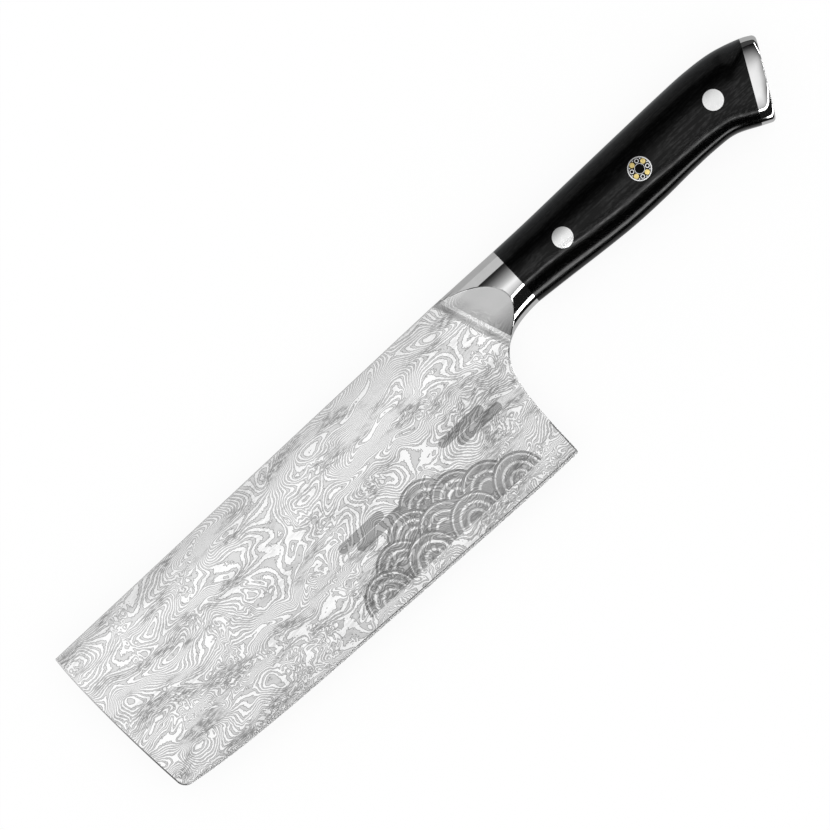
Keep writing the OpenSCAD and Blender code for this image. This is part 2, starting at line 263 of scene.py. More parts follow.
# Rounds the edges for which the test holds
def softenEdges(piece, isRim, width, segments=3):
    with editing(piece.data) as shape:
        rims = [edge for edge in shape.edges if len(edge.link_faces) == 2 and isRim(edge)]
        bmesh.ops.bevel(
            shape, geom=rims, offset=width, segments=segments, profile=0.5, affect="EDGES",
            clamp_overlap=False)


def smoothShade(piece, angle):
    mesh = piece.data
    mesh.polygons.foreach_set("use_smooth", [True] * len(mesh.polygons))
    mesh.set_sharp_from_angle(angle=math.radians(angle))


def finishPiece(piece, node, material=None, angle=30):
    smoothShade(piece, angle)
    if material:
        piece.data.materials.append(material)
    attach(piece, "root")
    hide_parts(node)


# Smooth values between the rows of a table

def rowOf(table, i):
    return table[min(len(table) - 1, max(0, i))]


def between(table, s):
    i = min(len(table) - 2, math.floor(s))
    t = s - i
    a, b, c, d = (rowOf(table, i + k) for k in (-1, 0, 1, 2))
    return b + t * ((c - a) / 2 + t * ((2 * a - 5 * b + 4 * c - d) / 2 + t * (3 * b - a - 3 * c + d) / 2))


def smooth(part):
    part = min(1.0, max(0.0, part))
    return part * part * (3 - 2 * part)


# Outline of the blade

def cornerRise(radius, run):
    return 0.0 if run <= 0 else radius - math.sqrt(max(0.0, radius * radius - run * run))


def edgeDepth(along):
    sweep = max(0.0, (lowAlong - along) / lowAlong)
    rise = bladeSize["edgeRise"] * sweep ** bladeSize["risePower"]
    curl = bladeSize["tipRise"] * sweep ** bladeSize["curlPower"]
    corners = cornerRise(bladeSize["tipRadius"], tipAlong - along)
    corners += cornerRise(bladeSize["heelRadius"], along - heelAlong)
    return bladeSize["height"] - rise - curl - corners


footDepth = edgeDepth(bladeSize["frontLean"])


def frontAlong(depth):
    brow = footDepth * bladeSize["browShare"]
    if depth < brow:
        return bladeSize["noseLean"] * (1 - depth / brow) ** 2
    return bladeSize["frontLean"] * ((depth - brow) / (footDepth - brow)) ** 2


def taper(depth, spine, edge):
    bevelDepth = bladeSize["height"] - bladeSize["bevelWide"]
    return (spine + (edge - spine) * depth / bevelDepth) / 2


def bladeHalf(depth):
    return taper(depth, bladeSize["spineThick"], bladeSize["edgeThick"])


def coreHalf(depth):
    return taper(depth, bladeSize["coreThick"], bladeSize["coreEdgeThick"])


def throatPoint(t):
    leave, sag, pull = bolsterSize["throatShares"]
    top = bellyDepth + (bladeSize["height"] - bellyDepth) * leave
    ends = [
        Vector((bladeSize["length"], top)),
        Vector((bladeSize["length"], top + (bellyDepth - top) * sag)),
        Vector((jointAlong - bolsterSize["throatLong"] * pull, bellyDepth)),
        Vector((jointAlong, bellyDepth))]
    s = 1 - t
    return s ** 3 * ends[0] + 3 * s * s * t * ends[1] + 3 * s * t * t * ends[2] + t ** 3 * ends[3]


ridgeFoot = throatPoint(bolsterSize["footShare"])
ridgeLong = math.hypot(ridgeFoot.x - ridgeAlong, ridgeFoot.y)
ridgeAngle = math.atan2(ridgeFoot.x - ridgeAlong, ridgeFoot.y)


# Places from the tip to where the edge is lowest, closer together near the tip
def edgeStations(steps=90):
    power = bladeSize["stationPower"]
    return [tipAlong + (lowAlong - tipAlong) * (i / steps) ** power for i in range(1, steps + 1)]


def bladeOutline(cornerSteps=12, throatSteps=60, frontSteps=60):
    points = [(ridgeAlong, 0.0)]
    for i in range(throatSteps + 1):
        points.append(tuple(throatPoint(bolsterSize["footShare"] * (1 - i / throatSteps))))
    turns = [math.pi / 2 * i / cornerSteps for i in range(cornerSteps + 1)]
    edge = [tipAlong - bladeSize["tipRadius"] * math.cos(a) for a in turns]
    edge += edgeStations()
    edge += [heelAlong + bladeSize["heelRadius"] * math.sin(a) for a in turns]
    for along in reversed(edge):
        points.append((along, edgeDepth(along)))
    for i in range(frontSteps - 1, -1, -1):
        depth = footDepth * i / frontSteps
        points.append((frontAlong(depth), depth))
    return points


def bladeSlab(name, lowHeight, highHeight):
    rings = []
    for heightAt in (lowHeight, highHeight):
        rings.append([place(along, depth, heightAt(depth)) for along, depth in bladeOutline()])
    return skinRings(name, rings)


def bevelCutter(side):
    stations = [-over, tipAlong] + edgeStations() + [heelAlong, bladeSize["length"] + over]
    wide, apex = bladeSize["bevelWide"], bladeSize["apexThick"]
    rings = []
    for along in stations:
        near = min(heelAlong, max(tipAlong, along))
        width = wide * min(1.0, (near - tipAlong) / bladeSize["bevelRunout"])
        depth = edgeDepth(near)
        slope = (bladeHalf(depth - wide) - apex / 2) / wide
        half = apex / 2 + slope * (wide - width)
        top, foot = depth - 2 * wide, depth + apex / slope / 4
        clear = half + bladeSize["spineThick"]
        ring = [(top, half + 2 * slope * wide), (foot, half - apex / 4), (foot, clear), (top, clear)]
        rings.append([place(along, d, side * h) for d, h in ring])
    return skinRings("bevelCutter", rings)


# Distance behind the line where the bolster's front meets the blade
def ridgeOffset(point):
    along, depth = point.x - frontX, spineY - point.y
    return (along - ridgeAlong) * math.cos(ridgeAngle) - depth * math.sin(ridgeAngle)


# Sections of the handle

backLine = [
    Vector((jointAlong + handleSize["length"] * a, handleSize["neckDrop"] * n + handleSize["height"] * d))
    for a, n, d in backShares]
bellyLine = [
    Vector((jointAlong + handleSize["length"] * a, bellyDepth + handleSize["height"] * d))
    for a, d in bellyShares]
girthLine = [bolsterSize["thick"] / 2] + [handleSize["thick"] / 2 * g for g in girthShares]


def swell(value, power):
    return math.copysign(abs(value) ** (2 / power), value)


# A quarter of a section from its slopes: how far up and how far out, as shares
def turnedCurve(turns, steps):
    points = [(0.0, 0.0)]
    for i in range(steps):
        turn = math.radians(between(turns, (i + 0.5) / steps * (len(turns) - 1)))
        points.append((points[-1][0] + math.cos(turn), points[-1][1] + math.sin(turn)))
    upAll, inAll = points[-1]
    return [(up / upAll, 1 - inward / inAll) for up, inward in points]


quarterSteps = 4 * handleSize["ringSteps"]
shoulderCurve = turnedCurve(shoulderTurns, quarterSteps)


# A closed ring round the handle: evenly spaced points, between an oval and a rounded square
def ovalRing(top, bottom, half, inset=0.0, powers=(2.0, 2.0), shoulder=0.0, sideInset=0.0, full=fullShare):
    full = top + (bottom - top) * full
    shrink = 1 - 2 * inset / (top - bottom).length
    points = []
    for i in range(4 * quarterSteps + 1):
        a = math.pi / 2 * i / quarterSteps
        upper = math.cos(a) > 0
        power = powers[0] if upper else powers[1]
        up, out = swell(math.cos(a), power), swell(math.sin(a), power)
        if upper and shoulder > 0:
            bentUp, bentOut = shoulderCurve[quarterSteps - min(i, 4 * quarterSteps - i)]
            up += (bentUp - up) * shoulder
            out += (math.copysign(bentOut, out) - out) * shoulder
        p = full + (top - full if upper else full - bottom) * shrink * up
        side = half - sideInset * (1 + handleSize["capLean"] * max(0.0, -up))
        points.append(place(p.x, p.y, side * out))
    return evenSteps(points, handleSize["ringSteps"])


# Points at even distances along a closed line
def evenSteps(points, count):
    walked = [0.0]
    for first, second in zip(points, points[1:]):
        walked.append(walked[-1] + (second - first).length)
    ring = []
    k = 0
    for i in range(count):
        target = walked[-1] * i / count
        while walked[k + 1] < target:
            k += 1
        part = (target - walked[k]) / (walked[k + 1] - walked[k])
        ring.append(points[k].lerp(points[k + 1], part))
    return ring


def handleRing(s, inset=0.0, sideInset=0.0, shoulderShare=1.0):
    ends = between(backLine, s), between(bellyLine, s)
    first, last, end = shoulderRows
    shoulder = smooth(s / first) * smooth((end - s) / (end - last))
    powers = between(sectionPowers, s), between(bellyPowers, s)
    return ovalRing(*ends, between(girthLine, s), inset, powers, shoulder * shoulderShare, sideInset)


def gripSkin(name, first, last, shoulderShare=1.0):
    count = max(2, round((last - first) * handleSize["rowSteps"]))
    rows = [first + (last - first) * i / count for i in range(count + 1)]
    return skinRings(name, [handleRing(s, shoulderShare=shoulderShare) for s in rows])


def pinPlace(spot):
    row, share = pinSize[spot]
    top = between(backLine, row)
    p = top + (between(bellyLine, row) - top) * share
    return place(p.x, p.y)


# Materials

# A number or vector that nodes give at each place. Sums, products and comparisons of such
# numbers become Math nodes.
class Value:
    def __init__(self, socket):
        self.socket = socket
        self.tree = socket.id_data

    def __add__(self, other):
        return mathNode("ADD", self, other)

    def __sub__(self, other):
        return mathNode("SUBTRACT", self, other)

    def __rsub__(self, other):
        return mathNode("SUBTRACT", other, self)

    def __mul__(self, other):
        return mathNode("MULTIPLY", self, other)

    def __truediv__(self, other):
        return mathNode("DIVIDE", self, other)

    def __lt__(self, other):
        return mathNode("LESS_THAN", self, other)

    def __gt__(self, other):
        return mathNode("GREATER_THAN", self, other)

    def __abs__(self):
        return mathNode("ABSOLUTE", self)


# Sets a socket to a fixed value, or joins it to what a node gives
def feed(socket, value):
    if isinstance(value, Value):
        value.tree.links.new(value.socket, socket)
    else:
        socket.default_value = value


def newNode(tree, kind, values=(), **settings):
    node = tree.nodes.new(kind)
    for name, setting in settings.items():
        setattr(node, name, setting)
    for socket, value in zip([s for s in node.inputs if s.enabled], values):
        feed(socket, value)
    return node


def nodeValue(kind, *values, **settings):
    tree = next(value.tree for value in values if isinstance(value, Value))
    node = newNode(tree, kind, values, **settings)
    return Value(next(s for s in node.outputs if s.enabled))


def mathNode(operation, *values, clamp=False):
    return nodeValue("ShaderNodeMath", *values, operation=operation, use_clamp=clamp)


def largest(first, second):
    return mathNode("MAXIMUM", first, second)


def vectorNode(operation, *values):
    return nodeValue("ShaderNodeVectorMath", *values, operation=operation)


def mapRange(value, low, high, newLow=0.0, newHigh=1.0, smooth=False):
    blend = "SMOOTHSTEP" if smooth else "LINEAR"
    return nodeValue("ShaderNodeMapRange", value, low, high, newLow, newHigh, interpolation_type=blend)


def noiseNode(vector, scale, detail=2.0, roughness=0.5, output="Fac"):
    node = newNode(vector.tree, "ShaderNodeTexNoise", (vector, scale, detail, roughness))
    return Value(node.outputs[output])


def greyMix(factor, first, second):
    return nodeValue("ShaderNodeMix", factor, first, second, data_type="FLOAT")


def curveOf(value, stops):
    low, high = stops[0][0], stops[-1][0]
    ramp = newNode(value.tree, "ShaderNodeValToRGB", [mapRange(value, low, high)])
    elements = ramp.color_ramp.elements
    while len(elements) < len(stops):
        elements.new(0.5)
    for element, (stop, shade) in zip(elements, stops):
        element.position = (stop - low) / (high - low)
        element.color = (shade, shade, shade, 1)
    return Value(ramp.outputs[0])


def splitVector(vector):
    return [Value(part) for part in newNode(vector.tree, "ShaderNodeSeparateXYZ", [vector]).outputs]


def joinVector(*values):
    return nodeValue("ShaderNodeCombineXYZ", *values)


def millimetres(tree):
    coordinates = newNode(tree, "ShaderNodeTexCoord").outputs["Object"]
    return vectorNode("SCALE", Value(coordinates), 1 / mm)


def newMaterial(name, roughness, metallic=1.0):
    material = bpy.data.materials.new(name)
    material.use_nodes = True
    shader = material.node_tree.nodes["Principled BSDF"]
    shader.inputs["Metallic"].default_value = metallic
    shader.inputs["Roughness"].default_value = roughness
    return material, shader, millimetres(material.node_tree)


def paint(shader, shade, tint=(1.0, 1.0, 1.0)):
    feed(shader.inputs["Base Color"], nodeValue("ShaderNodeCombineColor", *[shade * part for part in tint]))


# Distance and depth of a place on the knife, in millimetres
def alongAndDepth(position):
    x, y = splitVector(position)[:2]
    return x - frontX / mm, spineY / mm - y


layering = {
    "roughness": 0.12,
    "growAbove": 0.5,
    "growBelow": 1.3,
    "swirlScale": 0.045,
    "swirlReach": 18.0,
    "wiggleScale": 0.11,
    "wiggleReach": 6.0,
    "hillScale": (0.026, 0.07, 1.0),
    "hillDetail": 1.0,
    "hillRoughness": 0.4,
    "layerCount": 50.0,
    "patchScale": 0.06,
    "patchRange": (0.5, 0.62),
    "patchFall": 0.1,
    "roughScale": 0.3,
    "roughReach": 8.0,
    "grainScale": 1.6,
    "grainReach": 0.35,
    "darkShare": 0.52,
    "sampleStep": 0.06,
    "slopeLeast": 0.02,
    "lineWide": 0.18,
    "lineShare": 0.13,
    "lineFade": (0.6, 1.6),
    "light": 1.0,
    "fills": [(0, 0.79), (15, 0.74), (30, 0.7), (60, 0.68)],
    "lineShade": 0.52,
    "crowdRange": (0.7, 2.2),
    "crowdLeast": 0.35,
    "smudgeScale": (0.035, 0.12, 1.0),
    "smudgeNoise": (1.0, 3, 0.6),
    "smudgeRange": (0.44, 0.6),
    "smudgeFall": 0.04,
    "fleckScale": (0.4, 1.6, 1.0),
    "fleckNoise": (1.0, 2, 0.6),
    "fleckRange": (0.35, 0.6),
    "smudgeShade": 0.58,
    "otherSide": 70.0,
}


def shiftedNoise(vector, scale, reach):
    shift = noiseNode(vector, scale, 1, output="Color")
    shift = vectorNode("SUBTRACT", shift, (0.5, 0.5, 0.5))
    return vectorNode("MULTIPLY", shift, (reach, reach, 0))


# A value that changes evenly from the spine to the cutting edge
def downwards(sheet, above, below):
    return mapRange(splitVector(sheet)[1], 0.0, -bladeSize["height"] / mm, above, below)


# Height of the wavy stack of layers that the blade's flat side cuts through
def layerHeightGroup():
    group = bpy.data.node_groups.new("layerHeight", "ShaderNodeTree")
    group.interface.new_socket("Place", in_out="INPUT", socket_type="NodeSocketVector")
    group.interface.new_socket("Height", in_out="OUTPUT", socket_type="NodeSocketFloat")
    start = Value(newNode(group, "NodeGroupInput").outputs[0])
    grow = downwards(start, layering["growAbove"], layering["growBelow"])
    swirl = shiftedNoise(start, layering["swirlScale"], layering["swirlReach"])
    wiggle = shiftedNoise(start, layering["wiggleScale"], layering["wiggleReach"])
    bend = vectorNode("SCALE", vectorNode("ADD", swirl, wiggle), grow)
    bent = vectorNode("ADD", start, bend)
    stretched = vectorNode("MULTIPLY", bent, layering["hillScale"])
    hills = noiseNode(stretched, 1.0, layering["hillDetail"], layering["hillRoughness"])
    fall = layering["patchFall"]
    patch = noiseNode(start, layering["patchScale"], 1) + downwards(start, -fall, fall)
    patch = mapRange(patch, *layering["patchRange"], 0.0, layering["roughReach"], smooth=True)
    rough = (noiseNode(bent, layering["roughScale"], 1) - 0.5) * patch
    grain = noiseNode(start, layering["grainScale"], 0) * layering["grainReach"]
    height = hills * layering["layerCount"] + rough + grain
    newNode(group, "NodeGroupOutput", [height])
    return group


layerHeight = layerHeightGroup()


def layerSample(vector):
    return nodeValue("ShaderNodeGroup", vector, node_tree=layerHeight)


# Shade of the layered steel: pale and grey layers, the grey ones with thin dark borders
def layerShade(position):
    along, depth = alongAndDepth(position)
    right = splitVector(position)[2] < midZ / mm
    sheet = joinVector(along, depth * -1.0, right * layering["otherSide"])
    step = layering["sampleStep"]
    here = layerSample(sheet)
    east = layerSample(vectorNode("ADD", sheet, (step, 0, 0)))
    north = layerSample(vectorNode("ADD", sheet, (0, step, 0)))
    slope = vectorNode("LENGTH", joinVector(east - here, north - here, 0)) / step
    slope = largest(slope, layering["slopeLeast"])
    part = mathNode("FRACT", here)
    dark = layering["darkShare"]
    isDark = part < dark
    inner = mathNode("MINIMUM", part, dark - part)
    wide = mathNode("MINIMUM", slope * layering["lineWide"], layering["lineShare"])
    line = mapRange(inner / wide, *layering["lineFade"], 1.0, 0.0, smooth=True)
    line = line * (isDark * layering["lineShade"])
    shade = greyMix(isDark, layering["light"], curveOf(depth, layering["fills"])) * (1.0 - line)
    smudge = noiseNode(vectorNode("MULTIPLY", sheet, layering["smudgeScale"]), *layering["smudgeNoise"])
    smudge = smudge + downwards(sheet, -layering["smudgeFall"], layering["smudgeFall"])
    smudge = mapRange(smudge, *layering["smudgeRange"], 0.0, layering["smudgeShade"], smooth=True)
    crowd = mapRange(slope, *layering["crowdRange"], layering["crowdLeast"], 1.0, smooth=True)
    fleck = noiseNode(vectorNode("MULTIPLY", sheet, layering["fleckScale"]), *layering["fleckNoise"])
    crowd = crowd * mapRange(fleck, *layering["fleckRange"], smooth=True)
    return shade * (1.0 - smudge * crowd), along, depth, right


# A grey etched motif low on the left side: rows of round wave scales, back to front, each row
# with its depth, its first middle and its count, and bands of mist over them
motif = {
    "radius": 9.5,
    "rows": [(46.7, 123.3, 1), (51.5, 113.8, 2), (56.2, 104.3, 3), (61.0, 94.8, 4)],
    "rings": [
        (0.0, 0.85), (0.27, 0.85), (0.3, 0.1), (0.36, 0.1), (0.39, 0.85), (0.55, 0.85), (0.58, 0.1),
        (0.64, 0.1), (0.67, 0.85), (0.84, 0.85), (0.87, 0.1), (0.9, 0.1), (0.92, 1.0), (1.0, 1.0)],
    "mists": [(101.8, 38.0, 8.0), (107.3, 41.4, 8.5), (149.3, 35.0, 8.0), (154.3, 38.4, 8.0)],
    "mistRadius": 1.6,
    "mistTone": 0.85,
    "lowest": 60.8,
    "shade": 0.58,
}


def motifTone(along, depth):
    radius = motif["radius"]
    tone = 0.0
    for rowDepth, first, count in motif["rows"]:
        run = along - first
        folded = joinVector(mathNode("WRAP", run, radius, -radius), depth - rowDepth, 0)
        share = vectorNode("LENGTH", folded) / radius
        inside = (run > -radius) * (run < (2 * count - 1) * radius) * (share < 1.0)
        tone = greyMix(inside, tone, curveOf(share, motif["rings"]))
    for middle, mistDepth, half in motif["mists"]:
        aside = largest(abs(along - middle) - half, 0.0)
        apart = vectorNode("LENGTH", joinVector(aside, depth - mistDepth, 0))
        tone = largest(tone, (apart < motif["mistRadius"]) * motif["mistTone"])
    return tone * (depth < motif["lowest"])


def patternedSteelMaterial():
    material, shader, position = newMaterial("patternedSteel", layering["roughness"])
    shade, along, depth, right = layerShade(position)
    tone = motifTone(along, depth) * ((1.0 - right) * motif["shade"])
    paint(shader, shade * (1.0 - tone))
    return material


grinding = {
    "roughness": 0.24,
    # Painted shade of the facet and the land by depth: the facet darkens towards the belly
    "facetPaintedShades": [
        (0, 0.97), (3, 0.96), (4.5, 0.79), (7.5, 0.77), (11.5, 0.81), (15.5, 0.79), (19.5, 0.54), (23, 0.33)],
    "landPaintedShades": [(0, 0.5), (2.5, 0.68), (4.5, 0.64), (7.5, 0.9), (11.5, 0.99), (19.5, 0.97), (24, 0.7)],
    "hollowPaintedShades": [(0, 0.45), (4.5, 0.38), (7.5, 0.6), (11.5, 0.65), (15.5, 0.8), (19.5, 0.53), (24, 0.7)],
    "hollowPaintedAcross": [(0, 1.0), (0.5, 0.72), (1.2, 0.66), (1.9, 0.68), (2.4, 0.85)],
    "hollowStart": (0.1, 0.8),
    "hollowLight": 1.9,
    "hollowLayers": 0.5,
    "layersReach": 9.0,
    "layersShare": 0.5,
}


# Satin faces of the bolster, with painted shade: the hollow is painted dark, and the facet and the land get
# shades painted by depth; the blade's layers show faintly behind the land
def groundSteelMaterial():
    material, shader, position = newMaterial("groundSteel", grinding["roughness"])
    layers, along, depth = layerShade(position)[:3]
    off = (along - ridgeAlong / mm) * math.cos(ridgeAngle) - depth * math.sin(ridgeAngle)
    land = landEnd / mm
    seen = mapRange(off, land, grinding["layersReach"], grinding["layersShare"], 0.0, smooth=True)
    # Painted shade that changes with depth on the facet and the land
    facet, flat = curveOf(depth, grinding["facetPaintedShades"]), curveOf(depth, grinding["landPaintedShades"])
    shade = greyMix(seen, 1.0, layers) * greyMix(off < land, facet, flat)
    # Painted shade of the hollow: a dark band, set by depth and by distance behind the ridge
    paintedHollowShade = curveOf(depth, grinding["hollowPaintedShades"]) * curveOf(off, grinding["hollowPaintedAcross"])
    paintedHollowShade = paintedHollowShade * greyMix(grinding["hollowLayers"], 1.0, layers) * grinding["hollowLight"]
    paintedHollowShade = greyMix(mapRange(off, *grinding["hollowStart"], smooth=True), layers, paintedHollowShade)
    paint(shader, greyMix(off < bolsterSize["plungeWide"] / mm, shade, paintedHollowShade))
    return material


rimTone = {
    "roughness": 0.3,
    "light": 0.9,
    # Painted shade down the front edge, and near the bolster's throat
    "frontPaintedShades": [(10, 0.0), (28, 0.45), (48, 0.8)],
    "frontReach": 12.0,
    "throatDepths": (27.0, 33.0),
    "throatStart": 165.0,
    "throatPaintedShade": 0.9,
    "aboveFoot": 4,
}


# Rounded rims of the blade, with painted shade: they darken down the front edge and towards the bolster's
# throat
def rimSteelMaterial():
    material, shader, position = newMaterial("rimSteel", rimTone["roughness"])
    along, depth = alongAndDepth(position)
    front = (along < rimTone["frontReach"]) * curveOf(depth, rimTone["frontPaintedShades"])
    nearBolster = mapRange(depth, *rimTone["throatDepths"], rimTone["throatPaintedShade"], 0.0, smooth=True)
    below = depth > ridgeFoot.y / mm - rimTone["aboveFoot"]
    throat = (along > rimTone["throatStart"]) * nearBolster * below
    paint(shader, (1.0 - largest(front, throat)) * rimTone["light"])
    return material


# Materials whose shade changes softly from place to place: size and detail of the change, and
# the shades that it runs between
cloudRange = (0.3, 0.7)
cloudedLooks = {
    "polishedSteel": {"roughness": 0.05, "noise": (0.4, 3), "shades": (0.82, 0.86)},
    "satinSteel": {"roughness": 0.3, "noise": (1.0, 2), "shades": (0.6, 0.68), "stretch": (0.2, 3, 3)},
    "bevelSteel": {"roughness": 0.5, "noise": (6, 2), "shades": (0.5, 0.58)},
    # The strip where the bevel starts is painted dark: a painted shade line, not the steel's own colour
    "bevelStartPaintedShade": {"roughness": 0.5, "noise": (2, 2), "shades": (0.2, 0.26)},
    "rivetSteel": {"roughness": 0.2, "noise": (0.6, 3), "shades": (0.9, 0.96)},
    "pinBrass": {"roughness": 0.4, "noise": (3, 3), "shades": (0.92, 1.0), "tint": (1.0, 0.8, 0.32)},
    "blackResin": {
        "roughness": 0.3, "noise": (3, 3), "shades": (0.001, 0.003), "metallic": 0.0, "specular": 0.05},
}


def cloudedMaterial(name):
    look = cloudedLooks[name]
    material, shader, position = newMaterial(name, look["roughness"], look.get("metallic", 1.0))
    if "specular" in look:
        shader.inputs["Specular IOR Level"].default_value = look["specular"]
    if "stretch" in look:
        position = vectorNode("MULTIPLY", position, look["stretch"])
    cloud = noiseNode(position, *look["noise"])
    paint(shader, mapRange(cloud, *cloudRange, *look["shades"]), look.get("tint", (1.0, 1.0, 1.0)))
    return material


laminate = {
    "roughness": 0.17,
    "plyThick": 0.3,
    "plyRange": (0.1, 0.4),
    "waveStretch": (0.03, 0.45, 0.1),
    "waveReach": 1.3,
    "clothStretch": (0.3, 1, 1),
    "clothScale": 1.8,
    "clothRange": (0.35, 0.65),
    "dark": 0.0002,
    "pale": 0.0018,
    "tint": (0.95, 1.0, 1.03),
    "glossDark": 0.2,
    "glossPale": 0.42,
    "backPaintedLight": [(0.42, 0.0), (0.64, 0.006), (0.82, 0.021), (1.0, 0.085)],
    "backGloss": [(-0.3, 1.0), (0.3, 1.0), (0.42, 0.66), (1.0, 0.66)],
}


def laminateMaterial():
    material, shader, position = newMaterial("blackLaminate", laminate["roughness"], 0.0)
    wave = noiseNode(vectorNode("MULTIPLY", position, laminate["waveStretch"]), 1.0, 2)
    cloth = noiseNode(vectorNode("MULTIPLY", position, laminate["clothStretch"]), laminate["clothScale"], 2)
    level = splitVector(position)[2] + wave * laminate["waveReach"]
    part = mathNode("FRACT", level / laminate["plyThick"])
    ply = mapRange(abs(part - 0.5), *laminate["plyRange"], smooth=True)
    ply = ply * mapRange(cloth, *laminate["clothRange"])
    # Faces turned towards the back get painted light: their colour is paler the more they face the spine
    # side. The back is also less polished, so less glossy
    normal = Value(newNode(position.tree, "ShaderNodeNewGeometry").outputs["Normal"])
    towardsBack = splitVector(normal)[1]
    shade = greyMix(ply, laminate["dark"], laminate["pale"]) + curveOf(towardsBack, laminate["backPaintedLight"])
    paint(shader, shade, laminate["tint"])
    gloss = greyMix(ply, laminate["glossDark"], laminate["glossPale"])
    feed(shader.inputs["Specular IOR Level"], gloss * curveOf(towardsBack, laminate["backGloss"]))
    return material


patternedSteel = patternedSteelMaterial()
groundSteel = groundSteelMaterial()
rimSteel = rimSteelMaterial()
blackLaminate = laminateMaterial()
polishedSteel = cloudedMaterial("polishedSteel")
satinSteel = cloudedMaterial("satinSteel")
bevelSteel = cloudedMaterial("bevelSteel")
bevelStartPaintedShade = cloudedMaterial("bevelStartPaintedShade")
rivetSteel = cloudedMaterial("rivetSteel")
pinBrass = cloudedMaterial("pinBrass")
blackResin = cloudedMaterial("blackResin")
print("materials made")


# Blade

# How faces are told apart: a tilt is the cosine of the angle to the blade's middle plane, an
# area is in square metres and an angle in degrees
faceLimits = {
    "flat": 0.9995,
    "nearlyFlat": 0.999,
    "steep": 0.99,
    "bevel": 0.9,
    "sideArea": 0.001,
    "rimAngle": 50,
    "lowShare": 0.8,
    "ridgeNear": 0.05 * mm,
}


def isBevel(tilt):
    return faceLimits["bevel"] < tilt < faceLimits["steep"]


def roundRims(piece, side):
    def isFlatSide(face):
        return face.normal.z * side > faceLimits["steep"] and face.calc_area() > faceLimits["sideArea"]

    def isRim(edge):
        if not any(isFlatSide(face) for face in edge.link_faces):
            return False
        if edge.calc_face_angle(0) < math.radians(faceLimits["rimAngle"]):
            return False
        return any(abs(ridgeOffset(v.co)) >= faceLimits["ridgeNear"] for v in edge.verts)

    softenEdges(piece, isRim, bladeSize["rounding"])


# The narrow strip where the flat side ends and the sharpened bevel starts
def markBevelStart(piece, side):
    def isBorder(edge):
        tilts = [face.normal.z * side for face in edge.link_faces]
        return max(tilts) > faceLimits["nearlyFlat"] and any(isBevel(tilt) for tilt in tilts)

    softenEdges(piece, isBorder, bladeSize["bevelLine"], 1)


# Flat sides get the layered steel, the bevel its steel, the strip where the bevel starts a painted dark line,
# and the rest the rim steel with its painted shade
def paintCladding(piece, side):
    for polygon in piece.data.polygons:
        tilt = polygon.normal.z * side
        low = spineY - polygon.center.y > faceLimits["lowShare"] * bladeSize["height"]
        if tilt > faceLimits["flat"]:
            polygon.material_index = 0
        elif low and tilt > faceLimits["steep"]:
            polygon.material_index = 2
        elif low and isBevel(tilt):
            polygon.material_index = 1
        else:
            polygon.material_index = 3


def makeCladding(name, side):
    if side > 0:
        piece = bladeSlab(name, coreHalf, bladeHalf)
    else:
        piece = bladeSlab(name, lambda d: -bladeHalf(d), lambda d: -coreHalf(d))
    carve(piece, bevelCutter(side))
    roundRims(piece, side)
    markBevelStart(piece, side)
    for material in (patternedSteel, bevelSteel, bevelStartPaintedShade, rimSteel):
        piece.data.materials.append(material)
    paintCladding(piece, side)
    return piece


def makeCore():
    piece = bladeSlab("bladeCore", lambda d: -coreHalf(d), coreHalf)
    for side in (1, -1):
        carve(piece, bevelCutter(side))
    return piece


claddingLeft = makeCladding("claddingLeft", 1)
claddingRight = makeCladding("claddingRight", -1)
finishPiece(claddingLeft, "cladding_left", angle=20)
finishPiece(claddingRight, "cladding_right", angle=20)
finishPiece(makeCore(), "blade_core", bevelSteel, angle=20)
print("blade made")


# Bolster

def collarRing(point, toJoint=0.0):
    drop = handleSize["neckDrop"] * max(0.0, point[0] - ridgeAlong) / bolsterSize["length"]
    powers = (2.0, 2.0 + bolsterSize["throatFullness"] * (1 - toJoint))
    full = fullShare * (bolsterSize["height"] - handleSize["neckDrop"]) / (point[1] - drop)
    return ovalRing(Vector((point[0], drop)), Vector(point), bolsterSize["thick"] / 2, 0.0, powers, full=full)


# What the bolster keeps of its round bar: the blade's width, an S-shaped hollow, a land and
# then the two facets, which open towards the handle
def facetWedge(steps=16):
    low, high = bladeSize["spineThick"] / 2, bolsterSize["landThick"] / 2
    half = []
    for i in range(steps + 1):
        half.append((bolsterSize["plungeWide"] * i / steps, low + (high - low) * smooth(i / steps)))
    half.append((landEnd, high))
    widening = bolsterSize["length"] * math.tan(math.radians(bolsterSize["facetAngle"]))
    half.append((landEnd + bolsterSize["length"], high + widening))
    outline = half + [(a, -h) for a, h in reversed(half)]
    along, down = math.cos(ridgeAngle), math.sin(ridgeAngle)
    rings = []
    for t in (-bolsterSize["length"], ridgeLong + bolsterSize["length"]):
        rings.append([place(ridgeAlong + a * along + t * down, t * along - a * down, h) for a, h in outline])
    return skinRings("facetWedge", rings)


def makeBolster(steps=60):
    rings = []
    for along in (ridgeAlong - over, (ridgeAlong + ridgeFoot.x) / 2):
        rings.append(collarRing((along, ridgeFoot.y + ridgeFoot.x - along)))
    foot = bolsterSize["footShare"]
    for i in range(steps + 1):
        rings.append(collarRing(throatPoint(foot + (1 - foot) * i / steps), i / steps))
    piece = skinRings("bolster", rings)
    carve(piece, facetWedge(), "INTERSECT")
    piece.data.materials.append(polishedSteel)
    piece.data.materials.append(groundSteel)
    softenFacetEdge(piece)
    for polygon in piece.data.polygons:
        polygon.material_index = 1 if isGround(polygon.normal, polygon.center) else 0
    return piece


# How the ground faces are told from the polished ones, by the parts of a face's direction
groundLimits = {
    "sideways": 0.05,
    "forwards": 0.9,
    "facetPlay": 0.01,
    "pastLand": 0.2 * mm,
}


def acrossRidge(normal):
    return normal.x * math.cos(ridgeAngle) + normal.y * math.sin(ridgeAngle)


